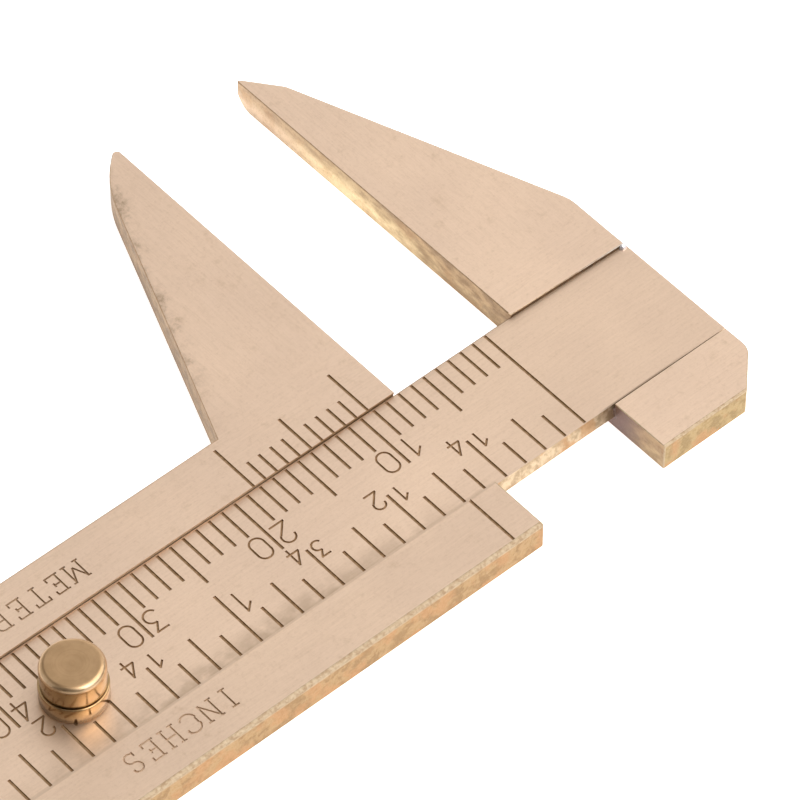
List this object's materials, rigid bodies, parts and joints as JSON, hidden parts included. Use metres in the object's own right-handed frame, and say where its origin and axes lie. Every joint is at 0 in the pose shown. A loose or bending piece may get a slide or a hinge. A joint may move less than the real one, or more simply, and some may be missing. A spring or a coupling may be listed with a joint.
{
  "type": "vernier caliper",
  "caption": "Pocket vernier caliper in brass: a channelled body with a fixed jaw, and a dovetail scale strip with a sliding jaw and a turned knob.",
  "frame": {"origin": "on the fixed jaw's measuring face, in line with the middle of the scale strip, on the body's underside", "axes": "+X along the scale from the measuring face to the body's far end; -Y towards the jaw tips; +Z out of the engraved face"},
  "size_m": [0.1148, 0.0403, 0.0049],
  "materials": {
    "brass_plate": "brushed satin brass, edges eased",
    "brass_strip": "brushed satin brass with dark engraved lines",
    "turned_brass": "turned and polished brass",
    "solder": "dull soft solder",
    "spring_bronze": "rolled spring bronze"
  },
  "bodies": {
    "body": {"body_plate": "brass_plate"},
    "slide": {"head_plate": "brass_plate", "scale_strip": "brass_strip", "knob": "turned_brass", "head_solder": "solder", "friction_spring": "spring_bronze"}
  },
  "joints": [
    {"name": "jaw_slide", "type": "slide", "parent": "body", "child": "slide", "axis": [-1, 0, 0], "range_m": [-0.0094, 0.0706]}
  ]
}
